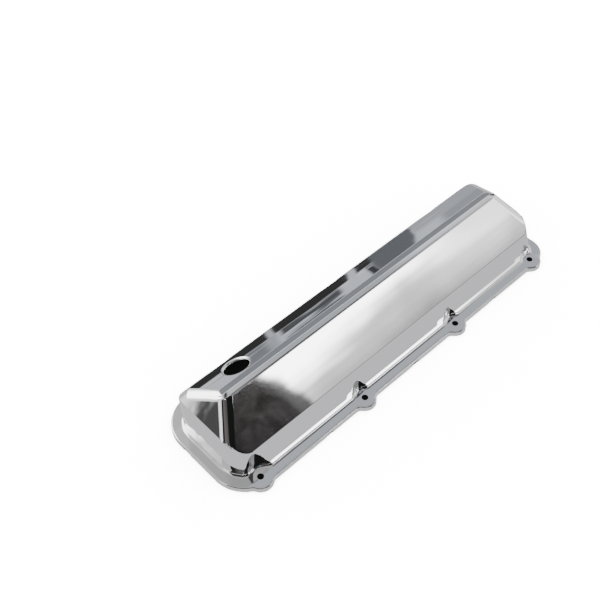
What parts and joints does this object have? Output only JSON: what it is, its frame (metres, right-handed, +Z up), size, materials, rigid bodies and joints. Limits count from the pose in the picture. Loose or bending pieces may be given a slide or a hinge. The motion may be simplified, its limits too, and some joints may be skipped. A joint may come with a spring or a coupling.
{
  "type": "engine valve cover",
  "caption": "Pressed steel rocker cover with a bevelled roof, bolting flange with ears and pockets, and an open breather hole near one end.",
  "frame": {"origin": "middle of the footprint, ears included, at the lower edge of the lip", "axes": "+X along the cover away from the breather hole, +Y towards the side with the bolt pockets, +Z up out of the cylinder head"},
  "size_m": [0.544, 0.1632, 0.0909],
  "materials": {
    "chrome_shell": "bright chrome plate"
  },
  "bodies": {
    "root": {"valve_cover": "chrome_shell"}
  },
  "joints": []
}
